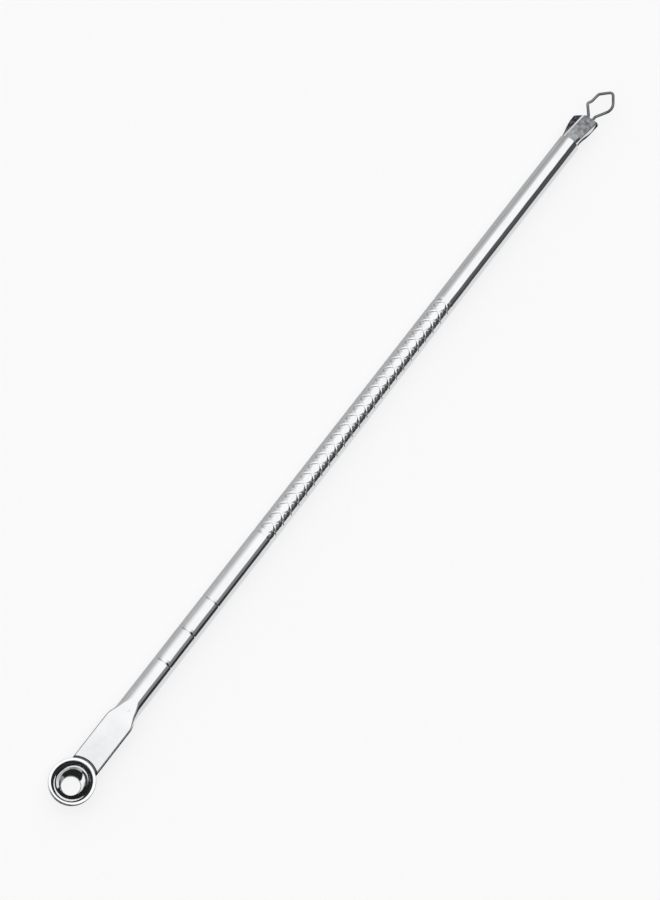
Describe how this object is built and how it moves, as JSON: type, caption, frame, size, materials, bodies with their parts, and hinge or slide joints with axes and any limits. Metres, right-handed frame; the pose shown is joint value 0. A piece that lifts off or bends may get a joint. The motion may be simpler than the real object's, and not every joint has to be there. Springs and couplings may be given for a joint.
{
  "type": "blackhead extractor",
  "caption": "Slim double-ended steel skin tool: a pierced cup on a flattened neck, a knurled round grip, and a bent wire loop crimped into the far end.",
  "frame": {"origin": "middle of the tool's length and width, at the height of the foot of the cup", "axes": "+X along the tool from the cup to the wire loop, +Z out of the mouth of the cup, +Y across the flat neck"},
  "size_m": [0.1248, 0.0058, 0.0034],
  "materials": {
    "shank_steel": "polished, with fine marks of handling; the pressed neck and crimp a little duller",
    "cup_steel": "bright polished pressing",
    "braze": "dull filler metal, slightly rough",
    "loop_wire": "drawn spring wire, bright, with faint draw lines"
  },
  "bodies": {
    "root": {"shank": "shank_steel", "cup": "cup_steel", "braze_seam": "braze", "wire_loop": "loop_wire"}
  },
  "joints": []
}
